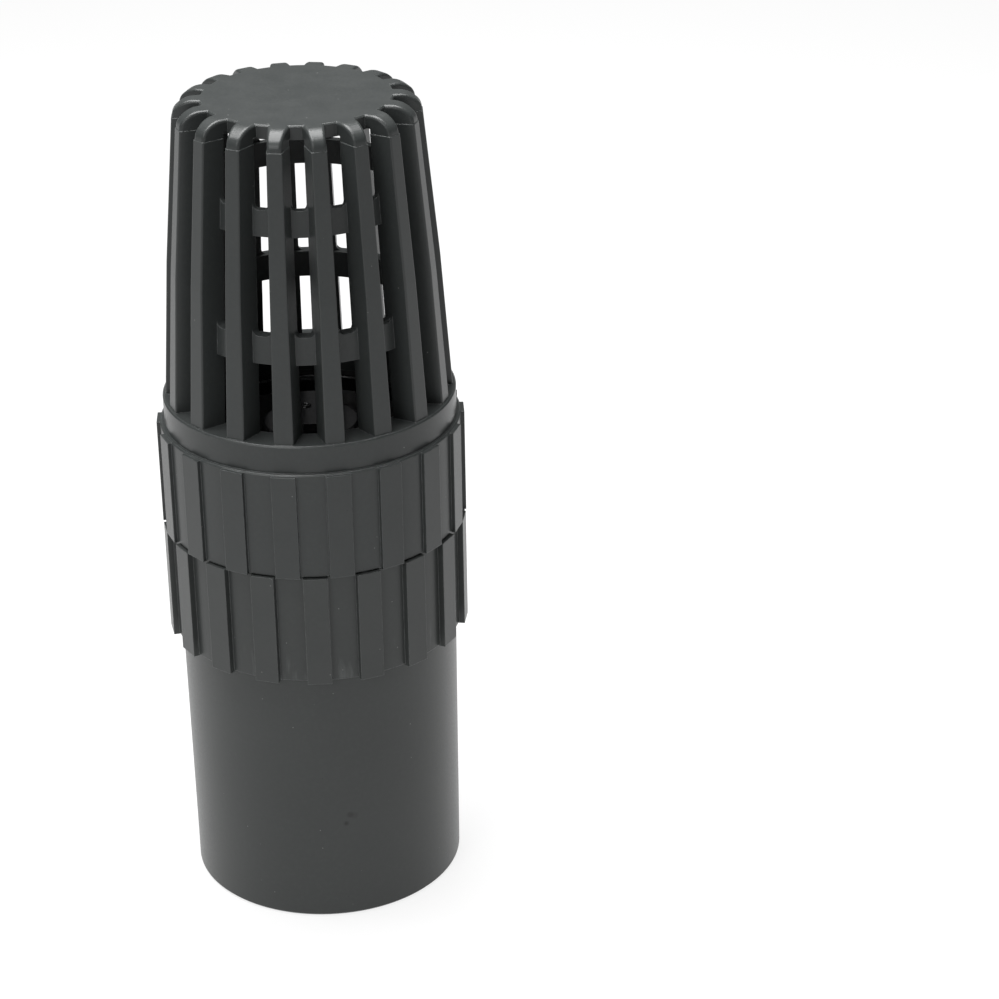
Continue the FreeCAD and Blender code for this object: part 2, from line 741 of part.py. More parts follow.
def make_lower_guide():
    """Rim, four arms and a hub that guide the foot of the stem."""
    piece = new_body("lower_guide")
    revolved(piece, "guide_rim", [
        ("guide_rim_radius - 3.7", "chamber_floor"),
        ("guide_rim_radius", "chamber_floor"),
        ("guide_rim_radius", "guide_rim_top"),
        ("guide_rim_radius - 3.7", "guide_rim_top"),
    ])
    half = "guide_arm_width / 2"
    arm = padded(piece, "guide_arm", [
        ("bush_radius + 1", "-" + half),
        ("guide_rim_radius - 3", "-" + half),
        ("guide_rim_radius - 3", half),
        ("bush_radius + 1", half),
    ], "chamber_floor", "guide_rim_top - chamber_floor")
    round_array(piece, "guide_arms", arm, "4")
    rest = padded(piece, "spring_rest", [
        ("bush_radius + 1", "-" + half),
        ("spring_radius + 3", "-" + half),
        ("spring_radius + 3", half),
        ("bush_radius + 1", half),
    ], "chamber_floor + 1", "spring_foot - chamber_floor - 1")
    round_array(piece, "spring_rests", rest, "4")
    revolved(piece, "guide_hub", [
        ("bush_radius + fit_gap", "chamber_floor"),
        ("guide_hub_radius", "chamber_floor"),
        ("guide_hub_radius", "guide_hub_top"),
        ("bush_radius + fit_gap", "guide_hub_top"),
    ])


# ------------------------------------------------------------------- assembly
make_valve_body()
make_strainer()
tube("thrust_ring", "thrust_inside", "flange_radius", "thrust_bottom",
     "thrust_top - thrust_bottom")
make_guide_bridge()
make_seat_ring()
make_seat_oring()
tube("upper_guide_bush", "stem_radius + running_gap", "bush_radius", "hub_bottom + 0.1",
     "hub_roof - hub_bottom - 0.1")
make_poppet()
open_ring("stem_keeper", "stem_radius - 0.55", "keeper_radius", "keeper_bottom",
          "keeper_thickness", "stem_radius")
make_return_spring()
tube("spring_washer", "stem_stop_radius + 0.2", "spring_radius + 2.8", "spring_head",
     "poppet_floor - spring_head")
make_lower_guide()
tube("lower_guide_bush", "stem_radius + running_gap", "bush_radius", "chamber_floor",
     "guide_hub_top - chamber_floor")
open_ring("retaining_clip", "guide_rim_radius - 1.9", "clip_groove_radius - 0.3",
          "clip_groove_bottom + 0.15", "1.5", "guide_arm_width * 2")
tube("outlet_gasket", "gasket_inside", "gasket_outside", "gasket_bottom",
     "gasket_shoulder - gasket_bottom")
doc.recompute()

# -------------------------------------------------------------- test and write
for item in doc.Objects:
    if "Invalid" in item.State or "Error" in item.State:
        raise RuntimeError("%s failed: %s" % (item.Name, item.State))
for piece in parts:
    if piece.Shape.isNull() or not piece.Shape.isValid():
        raise RuntimeError("%s has no valid shape" % piece.Label)

os.makedirs("parts", exist_ok=True)
for piece in parts:
    piece.Shape.exportStep("parts/%s.step" % piece.Label)
    box = piece.Shape.BoundBox
    print("%-18s solids %d  volume %9.1f  z %7.2f to %7.2f  reach %6.2f" % (
        piece.Label, len(piece.Shape.Solids), piece.Shape.Volume, box.ZMin, box.ZMax, box.XMax))
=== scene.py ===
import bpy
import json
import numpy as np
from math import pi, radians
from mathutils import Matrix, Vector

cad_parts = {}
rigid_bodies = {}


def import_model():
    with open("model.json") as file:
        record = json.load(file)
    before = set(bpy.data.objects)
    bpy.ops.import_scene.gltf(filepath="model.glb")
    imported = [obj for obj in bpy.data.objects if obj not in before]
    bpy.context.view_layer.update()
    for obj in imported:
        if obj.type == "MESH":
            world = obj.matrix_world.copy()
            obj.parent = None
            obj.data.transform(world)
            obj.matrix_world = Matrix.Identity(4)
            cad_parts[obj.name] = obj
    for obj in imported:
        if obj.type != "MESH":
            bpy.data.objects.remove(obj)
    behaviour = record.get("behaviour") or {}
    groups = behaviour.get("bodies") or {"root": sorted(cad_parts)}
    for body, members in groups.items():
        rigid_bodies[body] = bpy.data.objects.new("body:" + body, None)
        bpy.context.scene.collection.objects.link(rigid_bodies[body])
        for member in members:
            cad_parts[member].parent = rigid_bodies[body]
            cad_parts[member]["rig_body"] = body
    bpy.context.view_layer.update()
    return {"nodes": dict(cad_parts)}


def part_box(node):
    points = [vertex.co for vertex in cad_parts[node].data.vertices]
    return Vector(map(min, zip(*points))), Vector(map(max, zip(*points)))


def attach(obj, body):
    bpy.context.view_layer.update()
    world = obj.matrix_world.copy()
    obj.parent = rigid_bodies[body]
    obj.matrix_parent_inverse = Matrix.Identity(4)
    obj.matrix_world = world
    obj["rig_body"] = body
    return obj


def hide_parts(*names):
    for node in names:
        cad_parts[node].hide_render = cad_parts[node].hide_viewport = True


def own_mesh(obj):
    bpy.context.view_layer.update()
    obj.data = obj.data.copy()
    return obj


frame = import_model()

# %% [markdown]
# # A two inch plastic foot valve
# A foot valve hangs at the end of a pump's suction pipe. Here it stands on its outlet, with
# the strainer on top. The exact solids come from CAD as a fixed frame. This file gives every
# piece its finish, and makes the turned, sprung and rubber pieces again as finer surfaces
# with the small radii, ground ends and mould marks that the solids leave out.

MM = 0.001
nodes = frame["nodes"]
low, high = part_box("valve_body")
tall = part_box("strainer_basket")[1].z
print("the valve is %.1f mm tall and %.1f mm across" % (tall / MM, (high.x - low.x) / MM))

# %% [markdown]
# ## The camera and the lights
# The valve is seen from a little above, on a white table. Dark satin plastic shows its form
# by what it reflects, so one large soft box hangs over it and a weaker one stands in front.
# The white table throws light up from below, which draws the thin bright rims at the sides.
# A ring of small lamps would give more sparkle, but it would spot the gloss of the plastic.

# %% Camera
SENSOR = 36.0
CAMERA_PLACE = Vector((49.0, -681.9, 442.8)) * MM
CAMERA_DROP = 26.23          # degrees below the horizon
CAMERA_ROLL = -0.78          # degrees
LENS = 103.2                 # millimetres on the 36 mm sensor


def aim_camera():
    """Camera on +Y, tipped down by CAMERA_DROP and rolled about its own line of sight."""
    data = bpy.data.cameras.new("studio_camera")
    data.sensor_width = SENSOR
    data.lens = LENS
    camera = bpy.data.objects.new("studio_camera", data)
    bpy.context.scene.collection.objects.link(camera)
    tip = Matrix.Rotation(radians(90 - CAMERA_DROP), 4, "X")
    roll = Matrix.Rotation(radians(CAMERA_ROLL), 4, "Z")
    camera.matrix_world = Matrix.Translation(CAMERA_PLACE) @ tip @ roll
    bpy.context.scene.camera = camera
    return camera


print("camera", [round(value / MM) for value in aim_camera().matrix_world.translation])

# %% [markdown]
# ## Soft boxes and the white room
# A large soft box above draws the broad sheen on the cap and the shoulders, and a small weak
# one in front fills the ribs. The room itself is a dim even white, which lifts the gaps
# between the ribs without drawing lights of its own in the plastic.


# %% Soft boxes and the white room
def soft_box(name, place, width, height, power):
    """Rectangular lamp at place, facing the middle of the valve."""
    data = bpy.data.lights.new(name, "AREA")
    data.shape = "RECTANGLE"
    data.size = width
    data.size_y = height
    data.energy = power
    lamp = bpy.data.objects.new(name, data)
    bpy.context.scene.collection.objects.link(lamp)
    lamp.location = place
    towards = Vector((0, 0, tall / 2)) - Vector(place)
    lamp.rotation_euler = towards.to_track_quat("-Z", "Y").to_euler()
    return lamp


soft_box("top_box", (-0.1, 0.1, 0.95), 0.8, 0.6, 18.0)
soft_box("front_box", (-0.5, -1.0, 0.8), 0.5, 0.5, 4.0)

ROOM_LIGHT = 0.12
world = bpy.data.worlds.new("white_room")
bpy.context.scene.world = world
world.use_nodes = True
room = world.node_tree.nodes["Background"]
room.inputs["Color"].default_value = (1.0, 1.0, 1.0, 1.0)
room.inputs["Strength"].default_value = ROOM_LIGHT
bpy.context.scene.view_settings.view_transform = "Standard"
print("room light %.2f" % ROOM_LIGHT)

# %% [markdown]
# ## The white table
# The valve stands on a sheet that glows a little by itself, as a light table does. A plain
# white sheet would take a grey shadow and throw too much light at the sides. It is clear
# when seen from below, so that the outlet can be looked at.

# %% Floor
FLOOR_SIZE = 12.0
FLOOR_LEVEL = -0.00005       # just under the outlet face
FLOOR_GLOW = 0.80            # a light table, so that no shadow greys the sheet


def make_floor():
    """One square of white sheet that faces up and can't be seen from below."""
    half = FLOOR_SIZE / 2
    corners = [(-half, -half, FLOOR_LEVEL), (half, -half, FLOOR_LEVEL),
               (half, half, FLOOR_LEVEL), (-half, half, FLOOR_LEVEL)]
    mesh = bpy.data.meshes.new("floor")
    mesh.from_pydata(corners, [], [(0, 1, 2, 3)])
    floor = bpy.data.objects.new("floor", mesh)
    bpy.context.scene.collection.objects.link(floor)
    paper = bpy.data.materials.new("white_paper")
    paper.use_nodes = True
    shader = paper.node_tree.nodes["Principled BSDF"]
    shader.inputs["Base Color"].default_value = (0.2, 0.2, 0.2, 1.0)
    shader.inputs["Roughness"].default_value = 0.95
    shader.inputs["Specular IOR Level"].default_value = 0.0
    shader.inputs["Emission Color"].default_value = (1.0, 1.0, 1.0, 1.0)
    shader.inputs["Emission Strength"].default_value = FLOOR_GLOW
    tree = paper.node_tree
    below = tree.nodes.new("ShaderNodeNewGeometry").outputs["Backfacing"]
    choice = tree.nodes.new("ShaderNodeMixShader")
    clear = tree.nodes.new("ShaderNodeBsdfTransparent")
    tree.links.new(below, choice.inputs[0])
    tree.links.new(shader.outputs[0], choice.inputs[1])
    tree.links.new(clear.outputs[0], choice.inputs[2])
    tree.links.new(choice.outputs[0], tree.nodes["Material Output"].inputs["Surface"])
    mesh.materials.append(paper)
    return floor


print("floor", make_floor().name)

# %% [markdown]
# ## Node helpers
# All finishes are made of the same few bricks: noise of a given grain in millimetres, a map
# from one range to another, and a mix of two colours. Writing each material out node by node
# would be longer and would hide the few values that set one finish apart from another.


# %% Bricks for the finishes
class Finish:
    """A material under construction, with short names for the nodes it is made of."""

    def __init__(self, name, colour, roughness, metallic=0.0):
        self.material = bpy.data.materials.new(name)
        self.material.use_nodes = True
        self.tree = self.material.node_tree
        self.shader = self.tree.nodes["Principled BSDF"]
        self.shader.inputs["Base Color"].default_value = (*colour, 1.0)
        self.shader.inputs["Roughness"].default_value = roughness
        self.shader.inputs["Metallic"].default_value = metallic
        self.place = self.add("ShaderNodeTexCoord").outputs["Object"]

    def add(self, kind, **facts):
        """New node with its properties set."""
        node = self.tree.nodes.new(kind)
        for name, value in facts.items():
            setattr(node, name, value)
        return node

    def join(self, source, target):
        """Link from an output to an input; a plain number is just set."""
        if isinstance(source, (int, float, tuple)):
            target.default_value = source
        else:
            self.tree.links.new(source, target)

    def stretched(self, across, along):
        """Place scaled so that noise is longer along z than across."""
        mapping = self.add("ShaderNodeMapping")
        mapping.inputs["Scale"].default_value = (
            1 / (across * MM), 1 / (across * MM), 1 / (along * MM))
        self.join(self.place, mapping.inputs["Vector"])
        return mapping.outputs["Vector"]

    def noise(self, grain, detail=2.0, place=None, rough=0.5):
        """Noise whose lumps are about grain millimetres; 0 to 1, mean one half."""
        node = self.add("ShaderNodeTexNoise")
        self.join(place or self.place, node.inputs["Vector"])
        node.inputs["Scale"].default_value = 1 / (grain * MM)
        node.inputs["Detail"].default_value = detail
        node.inputs["Roughness"].default_value = rough
        return node.outputs["Fac"]

    def span(self, value, start, end, low=0.0, high=1.0):
        """Value from start to end carried to low to high, and held there."""
        node = self.add("ShaderNodeMapRange", clamp=True)
        self.join(value, node.inputs["Value"])
        for name, number in (("From Min", start), ("From Max", end),
                             ("To Min", low), ("To Max", high)):
            node.inputs[name].default_value = number
        return node.outputs["Result"]

    def math(self, kind, first, second=0.0):
        """Arithmetic on two numbers or outputs."""
        node = self.add("ShaderNodeMath", operation=kind)
        self.join(first, node.inputs[0])
        self.join(second, node.inputs[1])
        return node.outputs["Value"]

    def blend(self, share, first, second):
        """Colour that is first at share 0 and second at share 1."""
        node = self.add("ShaderNodeMix", data_type="RGBA")
        self.join(share, node.inputs[0])
        for source, socket in ((first, node.inputs[6]), (second, node.inputs[7])):
            self.join((*source, 1.0) if isinstance(source, tuple) else source, socket)
        return node.outputs[2]

    def soft_edges(self, radius):
        """Normal as if every edge were rounded to that radius in millimetres."""
        node = self.add("ShaderNodeBevel", samples=6)
        node.inputs["Radius"].default_value = radius * MM
        return node.outputs["Normal"]

    def edges(self, soft, start=0.01, end=0.12):
        """1 on edges and 0 on plain faces: how far the soft normal leaves the true one."""
        true = self.add("ShaderNodeNewGeometry").outputs["Normal"]
        node = self.add("ShaderNodeVectorMath", operation="DOT_PRODUCT")
        self.join(soft, node.inputs[0])
        self.join(true, node.inputs[1])
        return self.span(self.math("SUBTRACT", 1.0, node.outputs["Value"]), start, end)

    def facing_up(self):
        """1 on level faces, 0 on upright ones and undersides."""
        true = self.add("ShaderNodeNewGeometry").outputs["Normal"]
        split = self.add("ShaderNodeSeparateXYZ")
        self.join(true, split.inputs[0])
        return self.span(split.outputs["Z"], 0.3, 0.95)

    def specks(self, spacing, size, share):
        """Scattered round specks: one cell in share of them holds a dot of that size."""
        node = self.add("ShaderNodeTexVoronoi")
        self.join(self.place, node.inputs["Vector"])
        node.inputs["Scale"].default_value = 1 / (spacing * MM)
        dot = self.span(node.outputs["Distance"], size / spacing, size / spacing * 0.5)
        split = self.add("ShaderNodeSeparateColor")
        self.join(node.outputs["Color"], split.inputs[0])
        return self.math("MULTIPLY", dot, self.math("LESS_THAN", split.outputs[0], share))

    def between(self, kind, low, high, fade):
        """1 where the place's "radius" or "height" lies between two values, in mm."""
        split = self.add("ShaderNodeSeparateXYZ")
        self.join(self.place, split.inputs[0])
        value = split.outputs["Z"]
        if kind == "radius":
            flat = self.add("ShaderNodeCombineXYZ")
            self.join(split.outputs["X"], flat.inputs["X"])
            self.join(split.outputs["Y"], flat.inputs["Y"])
            length = self.add("ShaderNodeVectorMath", operation="LENGTH")
            self.join(flat.outputs[0], length.inputs[0])
            value = length.outputs["Value"]
        rise = self.span(value, (low - fade) * MM, low * MM)
        fall = self.span(value, high * MM, (high + fade) * MM, 1.0, 0.0)
        return self.math("MULTIPLY", rise, fall)

    def spot(self, place, size, fade):
        """1 within size millimetres of a place, falling to 0 over fade."""
        node = self.add("ShaderNodeVectorMath", operation="DISTANCE")
        self.join(self.place, node.inputs[0])
        node.inputs[1].default_value = Vector(place) * MM
        return self.span(node.outputs["Value"], (size + fade) * MM, size * MM)

    def bump(self, height, strength, depth, normal=None):
        """Normal of a surface whose height goes up and down by depth millimetres."""
        node = self.add("ShaderNodeBump")
        self.join(height, node.inputs["Height"])
        node.inputs["Strength"].default_value = strength
        node.inputs["Distance"].default_value = depth * MM
        if normal is not None:
            self.join(normal, node.inputs["Normal"])
        return node.outputs["Normal"]

    def finish(self, colour=None, roughness=None, normal=None):
        """Joins what is given to the shader and returns the material."""
        for source, name in ((colour, "Base Color"), (roughness, "Roughness"),
                             (normal, "Normal")):
            if source is not None:
                self.join(source, self.shader.inputs[name])
        return self.material


# %% [markdown]
# ## Grey PVC
# The body and the strainer are moulded in dark grey PVC: satin, with a fine spark-eroded
# grain, slow clouds where the melt cooled at different rates, paler edges that are partly
# rubbed and partly a painted highlight, faint upright drag marks from the mould, and a little
# pale dust. The darker strainer is the same finish with other values.


# %% PVC
PVC_SHEEN = 0.36
RUBBED_SHARE = 0.46            # tone of the rubbed bars against the pale edges
SMUDGES = (((8.15, -35.7, 31.6), 0.45, 0.6), ((7.1, -35.9, 29.0), 0.22, 0.9),
           ((9.3, -35.4, 31.2), 0.6, 0.25))      # place in mm, size in mm, strength


def grey_pvc(name, colour, roughness, dust=0.05, scuffs=0.35, marks=None):
    """Dark moulded PVC with grain, drag marks, dust, and edges paled by wear and by a painted
    highlight.

    marks(work, body, pale) may add what is found on one piece only.
    """
    work = Finish(name, colour, roughness)
    pale = tuple(0.02 + part * 1.9 for part in colour)
    deep = tuple(part * 0.93 for part in colour)
    soft = work.soft_edges(0.3)
    body = work.blend(work.span(work.noise(30.0, 2.0), 0.35, 0.68), deep, colour)
    body = work.blend(work.span(work.noise(1.2, 3.0, rough=0.65), 0.45, 0.75, 0.0, 0.07),
                      body, pale)
    drag = work.noise(1000.0, 4.0, work.stretched(0.9, 38.0), rough=0.6)
    drag = work.span(drag, 0.62, 0.80, 0.0, scuffs)
    where = work.span(work.noise(17.0, 2.0), 0.54, 0.70)
    drag = work.math("MULTIPLY", drag, where)
    body = work.blend(work.math("MULTIPLY", drag, 0.35), body, pale)
    if marks is not None:
        body = marks(work, body, pale)
    # paler edges: partly rubbed wear, partly a painted highlight along the rounded edges
    worn = work.math("MULTIPLY", work.edges(soft), work.span(work.noise(2.2, 4.0), 0.3, 0.5))
    body = work.blend(work.math("MULTIPLY", worn, 0.8), body, tuple(1.25 * x for x in pale))
    film = work.span(work.noise(9.0, 4.0, rough=0.6), 0.35, 0.75, 0.0, dust)
    film = work.math("MULTIPLY", work.facing_up(), film)
    body = work.blend(film, body, (0.16, 0.16, 0.155))
    dots = work.specks(3.4, 0.15, 0.5)
    body = work.blend(work.math("MULTIPLY", dots, 0.7), body, (0.32, 0.32, 0.31))
    pits = work.specks(5.3, 0.22, 0.3)
    body = work.blend(work.math("MULTIPLY", pits, 0.5), body, (0.012, 0.012, 0.012))
    shine = work.span(work.noise(0.6, 3.0), 0.3, 0.7, roughness - 0.03, roughness + 0.04)
    shine = work.math("ADD", shine, film)
    shine = work.math("ADD", shine, work.math("MULTIPLY", drag, 0.12))
    height = work.math("ADD", work.noise(0.3, 2.0), work.math("MULTIPLY", drag, 1.2))
    normal = work.bump(height, 0.18, 0.012, soft)
    work.shader.inputs["Specular IOR Level"].default_value = PVC_SHEEN
    return work.finish(body, shine, normal)


def handled(work, body, pale, inner):
    """Grip bars beyond the inner radius, rubbed to a slightly paler grey."""
    rubbed = work.between("radius", inner, 60.0, 0.3)
    rubbed = work.math("MULTIPLY", rubbed, work.span(work.noise(6.0, 3.0), 0.3, 0.6, 0.1, 0.5))
    worn = tuple(RUBBED_SHARE * tone for tone in pale)
    return work.blend(rubbed, body, worn)


def body_marks(work, body, pale):
    """The body's handled bars, pale smears at their feet and one dark smudge in front."""
    body = handled(work, body, pale, 39.2)
    smear = work.noise(1000.0, 3.0, work.stretched(2.4, 14.0), rough=0.55)
    smear = work.span(smear, 0.56, 0.72, 0.0, 0.6)
    foot = work.between("height", 75.0, 79.0, 5.0)
    ground = work.between("radius", 38.2, 38.9, 0.2)
    smear = work.math("MULTIPLY", smear, work.math("MULTIPLY", foot, ground))
    body = work.blend(smear, body, pale)
    for place, size, share in SMUDGES:
        dirt = work.math("MULTIPLY", work.spot(place, size, 0.7), share)
        body = work.blend(dirt, body, (0.012, 0.012, 0.011))
    return body


def strainer_marks(work, body, pale):
    """The strainer's handled grip bars."""
    return handled(work, body, pale, 39.5)


# %% [markdown]
# ## Black polypropylene
# The seat, the bridge and the poppet are glossy black polypropylene, fresh from a polished
# mould, with swirls from the flow and a faint haze of handling.


# %% Polypropylene
def black_pp(name, colour, roughness):
    """Glossy black moulding with soft flow swirls and a thin haze."""
    work = Finish(name, colour, roughness)
    pale = tuple(0.02 + part * 2.5 for part in colour)
    soft = work.soft_edges(0.3)
    flow = work.noise(9.0, 4.0, rough=0.5)
    body = work.blend(work.span(flow, 0.35, 0.7), colour, tuple(part * 1.4 for part in colour))
    worn = work.math("MULTIPLY", work.edges(soft), work.span(work.noise(1.4, 3.0), 0.4, 0.7))
    body = work.blend(work.math("MULTIPLY", worn, 0.4), body, pale)
    dots = work.specks(2.6, 0.12, 0.35)
    body = work.blend(work.math("MULTIPLY", dots, 0.5), body, (0.3, 0.3, 0.29))
    shine = work.span(work.noise(3.0, 3.0), 0.35, 0.7, roughness - 0.03, roughness + 0.06)
    height = work.math("ADD", work.noise(1.6, 2.0), work.math("MULTIPLY", flow, 3.0))
    return work.finish(body, shine, work.bump(height, 0.10, 0.02, soft))


# %% [markdown]
# ## Rubber, stainless steel and bush plastic
# Rubber is matt, nearly black and holds dust. Turned steel has fine rings round its axis,
# drawn wire has lines along it; both are told apart by the way their noise is stretched. The
# bushes are an off-white plastic, a little yellowed and greased.


# %% Rubber, steel and bush plastic
def black_rubber(name, colour, roughness):
    """Matt rubber with a fine skin, bloom and dust."""
    work = Finish(name, colour, roughness)
    bloom = work.span(work.noise(5.0, 4.0, rough=0.7), 0.4, 0.75, 0.0, 0.35)
    body = work.blend(bloom, colour, (0.07, 0.07, 0.068))
    body = work.blend(work.math("MULTIPLY", work.specks(2.0, 0.12, 0.5), 0.6), body,
                      (0.35, 0.34, 0.32))
    shine = work.span(work.noise(0.6, 3.0), 0.3, 0.7, roughness - 0.08, roughness + 0.08)
    height = work.math("ADD", work.noise(0.22, 3.0), work.noise(1.8, 2.0))
    return work.finish(body, shine, work.bump(height, 0.5, 0.03))


def steel(name, colour, roughness, across, along):
    """Stainless steel whose tool marks are stretched: across and along z, in millimetres."""
    work = Finish(name, colour, roughness, metallic=1.0)
    marks = work.noise(1000.0, 3.0, work.stretched(across, along), rough=0.6)
    stain = work.span(work.noise(4.0, 4.0), 0.5, 0.8, 0.0, 0.5)
    body = work.blend(stain, colour, tuple(part * 0.62 for part in colour))
    soft = work.soft_edges(0.12)
    worn = work.math("MULTIPLY", work.edges(soft), work.span(work.noise(0.8, 2.0), 0.4, 0.6))
    body = work.blend(worn, body, (0.78, 0.78, 0.77))
    shine = work.span(marks, 0.3, 0.7, roughness - 0.07, roughness + 0.12)
    shine = work.math("ADD", shine, work.math("MULTIPLY", stain, 0.15))
    return work.finish(body, shine, work.bump(marks, 0.4, 0.015, soft))


def bush_plastic(name, colour, roughness):
    """Off-white bearing plastic, slightly yellowed, with a dark film of grease."""
    work = Finish(name, colour, roughness)
    yellow = (colour[0], colour[1] * 0.93, colour[2] * 0.76)
    body = work.blend(work.span(work.noise(6.0, 3.0), 0.35, 0.7), colour, yellow)
    grease = work.span(work.noise(2.2, 5.0, rough=0.7), 0.55, 0.75, 0.0, 0.6)
    body = work.blend(grease, body, tuple(part * 0.35 for part in colour))
    shine = work.span(work.noise(0.7, 2.0), 0.3, 0.7, roughness - 0.05, roughness + 0.08)
    shine = work.math("SUBTRACT", shine, work.math("MULTIPLY", grease, 0.15))
    return work.finish(body, shine, work.bump(work.noise(0.35, 2.0), 0.3, 0.02,
                                              work.soft_edges(0.15)))


# %% [markdown]
# ## Giving the CAD pieces their finish
# The moulded pieces keep their exact solids, so their fits stay true. Each gets the finish of
# its slot; the strainer, the body and the two black mouldings differ a little in shade.


# %% Finishes of the moulded pieces
def paint(name, material):
    """Only this material on a node."""
    mesh = nodes[name].data
    mesh.materials.clear()
    mesh.materials.append(material)


BODY_GREY = (0.0360, 0.0395, 0.0385)
CAGE_GREY = (0.0330, 0.0365, 0.0360)
body_grey = grey_pvc("body_pvc", BODY_GREY, 0.34, marks=body_marks)
strainer_grey = grey_pvc("strainer_pvc", CAGE_GREY, 0.32, scuffs=0.25, marks=strainer_marks)
bridge_black = black_pp("bridge_pp", (0.005, 0.005, 0.0055), 0.18)
inner_black = black_pp("inner_pp", (0.0095, 0.0095, 0.010), 0.33)
ring_grey = grey_pvc("ring_pvc", (0.028, 0.029, 0.029), 0.42, dust=0.2, scuffs=0.2)
mouldings = {"valve_body": body_grey, "strainer_basket": strainer_grey,
             "guide_bridge": bridge_black, "seat_ring": inner_black,
             "poppet_head": inner_black, "seal_retainer": inner_black,
             "lower_guide": inner_black, "thrust_ring": ring_grey}
for name, material in mouldings.items():
    paint(name, material)
print("%d CAD pieces painted" % len(mouldings))

# %% [markdown]
# ## Surfaces made with numpy
# Every finer piece is a grid of points: a closed outline carried round the axis, or round
# wire carried along a helix. One could model these with modifiers on simple meshes, but a
# formula keeps the exact radii of the fits, closes every seam and gives even quads.


# %% Grids, outlines and lathes
def skin(name, grid, shut_along=False):
    """Mesh on a grid of points, rows along and columns round; columns always close up.

    Each quad joins row i, column j to row i + 1, column j + 1. When shut_along is set the
    last row joins the first; otherwise each end is closed by one face fan to a middle point.
    """
    rows, columns = grid.shape[:2]
    points = grid.reshape(-1, 3)
    steps = rows if shut_along else rows - 1
    row, column = np.meshgrid(np.arange(steps), np.arange(columns), indexing="ij")
    after = (row + 1) % rows
    beside = (column + 1) % columns
    quads = np.stack([row * columns + column, row * columns + beside,
                      after * columns + beside, after * columns + column], -1).reshape(-1, 4)
    faces = [quads.ravel()]
    sizes = [np.full(len(quads), 4)]
    if not shut_along:
        points = np.vstack([points, grid[0].mean(0), grid[-1].mean(0)])
        turn = np.arange(columns)
        last = (rows - 1) * columns
        for tip, first, second in ((rows * columns, (turn + 1) % columns, turn),
                                   (rows * columns + 1, last + turn,
                                    last + (turn + 1) % columns)):
            fan = np.stack([np.full(columns, tip), first, second], -1)
            faces.append(fan.ravel())
            sizes.append(np.full(columns, 3))
    corners = np.concatenate(faces).astype(np.int32)
    counts = np.concatenate(sizes).astype(np.int32)
    mesh = bpy.data.meshes.new(name)
    mesh.vertices.add(len(points))
    mesh.vertices.foreach_set("co", points.astype(np.float32).ravel())
    mesh.loops.add(len(corners))
    mesh.loops.foreach_set("vertex_index", corners)
    mesh.polygons.add(len(counts))
    starts = np.concatenate([[0], np.cumsum(counts)[:-1]]).astype(np.int32)
    mesh.polygons.foreach_set("loop_start", starts)
    mesh.update(calc_edges=True)
    mesh.validate()
    mesh.polygons.foreach_set("use_smooth", np.ones(len(mesh.polygons), bool))
    if volume(mesh) < 0:
        mesh.flip_normals()
    piece = bpy.data.objects.new(name, mesh)
    bpy.context.scene.collection.objects.link(piece)
    return piece


def volume(mesh):
    """Signed volume of a closed mesh: one sixth of the sum of a . (b x c) over triangles."""
    mesh.calc_loop_triangles()
    points = np.empty(len(mesh.vertices) * 3, np.float32)
    mesh.vertices.foreach_get("co", points)
    corners = np.empty(len(mesh.loop_triangles) * 3, np.int32)
    mesh.loop_triangles.foreach_get("vertices", corners)
    a, b, c = points.reshape(-1, 3).astype(float)[corners.reshape(-1, 3)].transpose(1, 0, 2)
    return float((a * np.cross(b, c)).sum() / 6)


def rounded_outline(corners, steps=6):
    """Closed outline of (radius, height, rounding) corners, each rounding drawn as an arc.

    The arc is a quadratic blend of three points: the corner and the two points one rounding
    away from it on its sides. Straight sides get a few points so that quads stay short.
    """
    corner = np.array(corners, float)
    before = np.roll(corner, 1, 0)[:, :2] - corner[:, :2]
    after = np.roll(corner, -1, 0)[:, :2] - corner[:, :2]
    before /= np.linalg.norm(before, axis=1)[:, None]
    after /= np.linalg.norm(after, axis=1)[:, None]
    share = np.linspace(0, 1, steps)[None, :, None]
    start = (corner[:, :2] + before * corner[:, 2:])[:, None]
    end = (corner[:, :2] + after * corner[:, 2:])[:, None]
    middle = corner[:, None, :2]
    arcs = (1 - share) ** 2 * start + 2 * share * (1 - share) * middle + share ** 2 * end
    return arcs.reshape(-1, 2)


def lathe(name, outline, columns=160, ripple=None):
    """Closed outline of (radius, height) in millimetres turned once round the z axis.

    A point is (r cos a, r sin a, z); ripple may give radius and height offsets as arrays of
    the angle and the outline's own place.
    """
    angle = np.linspace(0, 2 * pi, columns, endpoint=False)[:, None]
    radius = np.repeat(outline[None, :, 0], columns, 0)
    height = np.repeat(outline[None, :, 1], columns, 0)
    if ripple is not None:
        radius, height = ripple(angle, radius, height)
    grid = np.stack([radius * np.cos(angle), radius * np.sin(angle), height], -1) * MM
    return skin(name, grid.transpose(1, 0, 2), shut_along=True)


def settle(piece, node, material):
    """The piece takes a CAD node's place: its body and a finish."""
    piece.data.materials.append(material)
    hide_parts(node)
    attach(piece, nodes[node]["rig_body"])
    print("%s: %d faces" % (piece.name, len(piece.data.polygons)))
    return piece


# %% [markdown]
# ## The gate mark on the hub
# The bridge is moulded through a pin gate in the middle of its key. Where the sprue was
# twisted off, a small swirl of plastic is left standing proud of the glossy face.

# %% Gate mark
MARK_PLACE = (-1.3, 1.0, 134.52)
MARK_BEAD = 0.26


